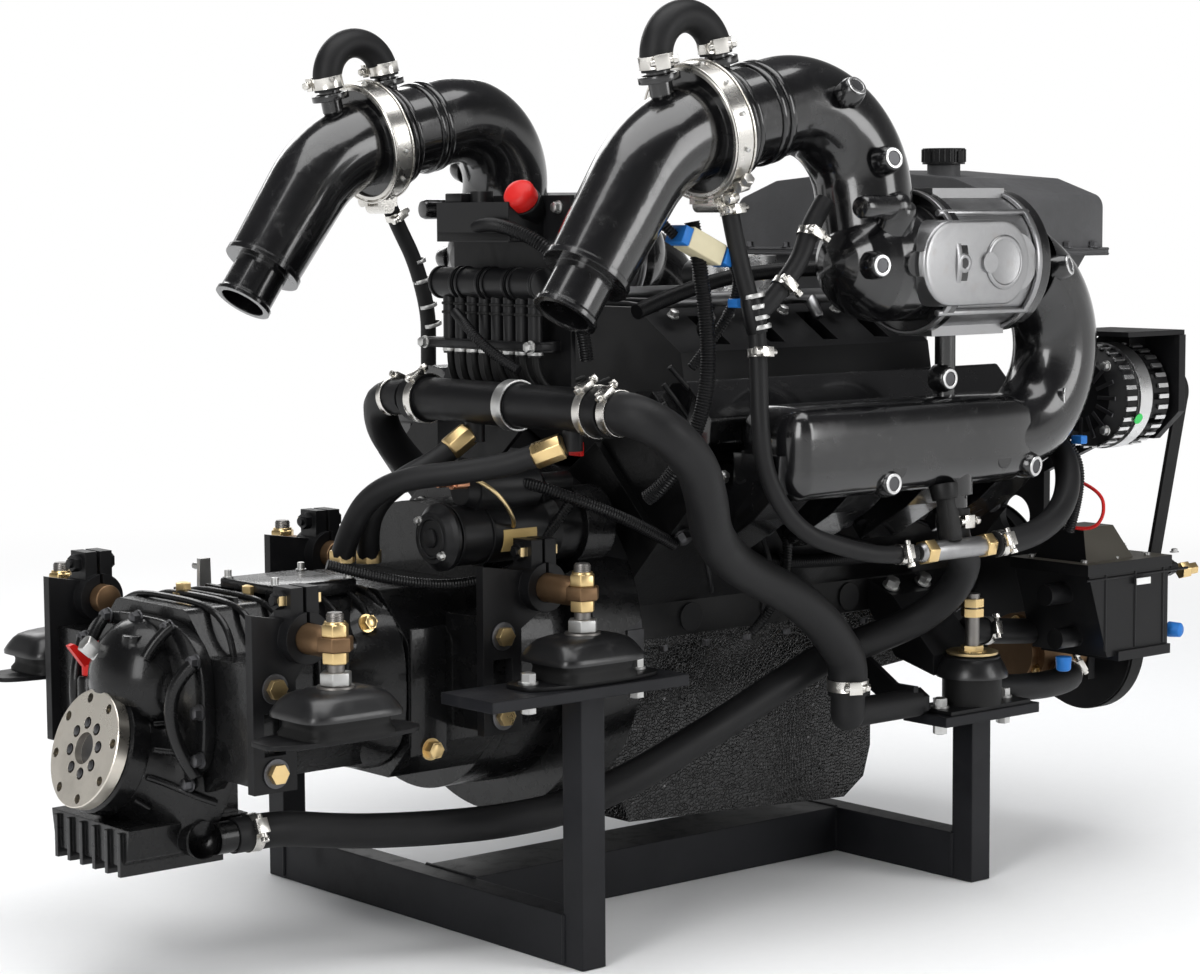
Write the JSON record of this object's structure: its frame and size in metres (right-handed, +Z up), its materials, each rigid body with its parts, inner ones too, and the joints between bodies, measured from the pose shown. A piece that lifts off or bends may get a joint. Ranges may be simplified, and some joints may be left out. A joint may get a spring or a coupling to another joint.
{
  "type": "inboard marine engine",
  "caption": "Inboard marine vee engine with a reversing gearbox, output flange, twin exhaust elbows and belt drive, standing on rubber mounts on a welded transport stand.",
  "frame": {"origin": "middle of the stand's footprint, on the ground", "axes": "+X forward towards the belt drive, along the crankshaft; +Y to port; +Z up"},
  "size_m": [1.4313, 0.856, 1.0379],
  "materials": {
    "satin_black_steel": "satin black paint over welded square tube",
    "mount_steel": "black paint with bare zinc and brass fasteners",
    "bracket_paint": "semi-gloss black paint",
    "gearbox_black": "textured black paint on cast aluminium",
    "machined_flange": "turned and drilled steel face",
    "lever_zinc": "zinc plated",
    "red_plastic": "moulded red handle",
    "cast_silver": "raw casting",
    "rusted_steel": "lightly rusted bare steel",
    "pulley_steel": "dark painted pressed steel",
    "engine_black": "crackle black engine enamel",
    "cover_black": "gloss black moulded cover",
    "manifold_black": "gloss black baked enamel on cast aluminium",
    "bare_aluminium": "bare cast and pressed metal",
    "stainless_band": "polished stainless steel",
    "hose_rubber": "matt black reinforced hose",
    "belt_rubber": "ribbed belt",
    "intake_black": "moulded black composite",
    "throttle_metal": "cast body with a turned bore",
    "tensioner_metal": "cast arm with a dark roller",
    "motor_black": "black painted housing with bare bands",
    "pump_bronze": "black painted pump body",
    "tank_plastic": "grey-black semi-gloss casting",
    "module_plastic": "moulded black case with a bare domed cover",
    "cooler_black": "gloss black tube",
    "coil_black": "moulded black coils and leads"
  },
  "bodies": {
    "engine": {"accessory_bracket": "bracket_paint", "alternator": "motor_black", "bracket_port_aft": "bracket_paint", "bracket_port_front": "bracket_paint", "bracket_port_mid": "bracket_paint", "bracket_stbd_aft": "bracket_paint", "bracket_stbd_front": "bracket_paint", "bracket_stbd_mid": "bracket_paint", "bypass_hose_port": "hose_rubber", "bypass_hose_stbd": "hose_rubber", "catalyst_housing_port": "bare_aluminium", "catalyst_housing_stbd": "bare_aluminium", "coil_pack": "coil_black", "coolant_tank": "tank_plastic", "cooler_hose": "hose_rubber", "cross_cooler": "cooler_black", "cylinder_head_port": "engine_black", "cylinder_head_stbd": "engine_black", "engine_block": "engine_black", "exhaust_manifold_port": "manifold_black", "exhaust_manifold_stbd": "manifold_black", "exhaust_outlet_port": "manifold_black", "exhaust_outlet_stbd": "manifold_black", "exhaust_riser_port": "manifold_black", "exhaust_riser_stbd": "manifold_black", "flywheel_housing": "cast_silver", "fuel_module": "module_plastic", "gearbox_case": "gearbox_black", "gearbox_hose": "hose_rubber", "gearbox_oil_pan": "gearbox_black", "gearbox_tail_case": "gearbox_black", "intake_manifold": "intake_black", "mount_port_aft": "mount_steel", "mount_port_front": "mount_steel", "mount_port_mid": "mount_steel", "mount_stbd_aft": "mount_steel", "mount_stbd_front": "mount_steel", "mount_stbd_mid": "mount_steel", "oil_pan": "engine_black", "sea_pump": "pump_bronze", "serpentine_belt": "belt_rubber", "stand_frame": "satin_black_steel", "starter_motor": "motor_black", "throttle_body": "throttle_metal", "timing_cover": "engine_black", "v_band_clamp_port": "stainless_band", "v_band_clamp_stbd": "stainless_band", "valve_cover_port": "cover_black", "valve_cover_stbd": "cover_black"},
    "crank": {"crankshaft": "pulley_steel", "flywheel": "rusted_steel"},
    "water_pump_drive": {"water_pump_pulley": "pulley_steel"},
    "sea_pump_drive": {"sea_pump_pulley": "pulley_steel"},
    "alternator_drive": {"alternator_rotor": "pulley_steel"},
    "gearbox_output": {"output_flange": "machined_flange"},
    "throttle": {"throttle_plate": "throttle_metal"},
    "shift": {"shift_lever": "lever_zinc"},
    "tensioner": {"tensioner_arm": "tensioner_metal"},
    "dipstick": {"gearbox_dipstick": "red_plastic"},
    "filler_cap": {"coolant_cap": "tank_plastic"}
  },
  "joints": [
    {"name": "crank_spin", "type": "hinge", "parent": "engine", "child": "crank", "pos_m": [0, 0, 0.32], "axis": [1, 0, 0], "continuous": true},
    {"name": "water_pump_spin", "type": "hinge", "parent": "engine", "child": "water_pump_drive", "pos_m": [0.64, 0, 0.505], "axis": [1, 0, 0], "continuous": true},
    {"name": "sea_pump_spin", "type": "hinge", "parent": "engine", "child": "sea_pump_drive", "pos_m": [0.64, -0.18, 0.247], "axis": [1, 0, 0], "continuous": true},
    {"name": "alternator_spin", "type": "hinge", "parent": "engine", "child": "alternator_drive", "pos_m": [0.64, -0.3, 0.58], "axis": [1, 0, 0], "continuous": true},
    {"name": "output_spin", "type": "hinge", "parent": "engine", "child": "gearbox_output", "pos_m": [-0.75, 0, 0.255], "axis": [-0.9511, 0, 0.309], "continuous": true},
    {"name": "throttle_turn", "type": "hinge", "parent": "engine", "child": "throttle", "pos_m": [0.18, 0, 0.73], "axis": [0, 1, 0], "range_deg": [0, 80], "stiffness_Nm_per_rad": 0.05, "springref_deg": -11.46},
    {"name": "shift_turn", "type": "hinge", "parent": "engine", "child": "shift", "pos_m": [-0.52, 0.12, 0.35], "axis": [0, 1, 0], "range_deg": [-35, 35]},
    {"name": "tensioner_swing", "type": "hinge", "parent": "engine", "child": "tensioner", "pos_m": [0.61, 0.178, 0.38], "axis": [1, 0, 0], "range_deg": [-25, 0], "stiffness_Nm_per_rad": 12, "springref_deg": 17.19},
    {"name": "dipstick_pull", "type": "slide", "parent": "engine", "child": "dipstick", "axis": [0, 0, 1], "range_m": [0, 0.09]},
    {"name": "filler_cap_lift", "type": "slide", "parent": "engine", "child": "filler_cap", "axis": [0, 0, 1], "range_m": [0, 0.04]}
  ],
  "couplings": [
    {"joint": "water_pump_spin", "follows": "crank_spin", "ratio": 1.3571},
    {"joint": "sea_pump_spin", "follows": "crank_spin", "ratio": 1.131},
    {"joint": "alternator_spin", "follows": "crank_spin", "ratio": 3.1667}
  ]
}
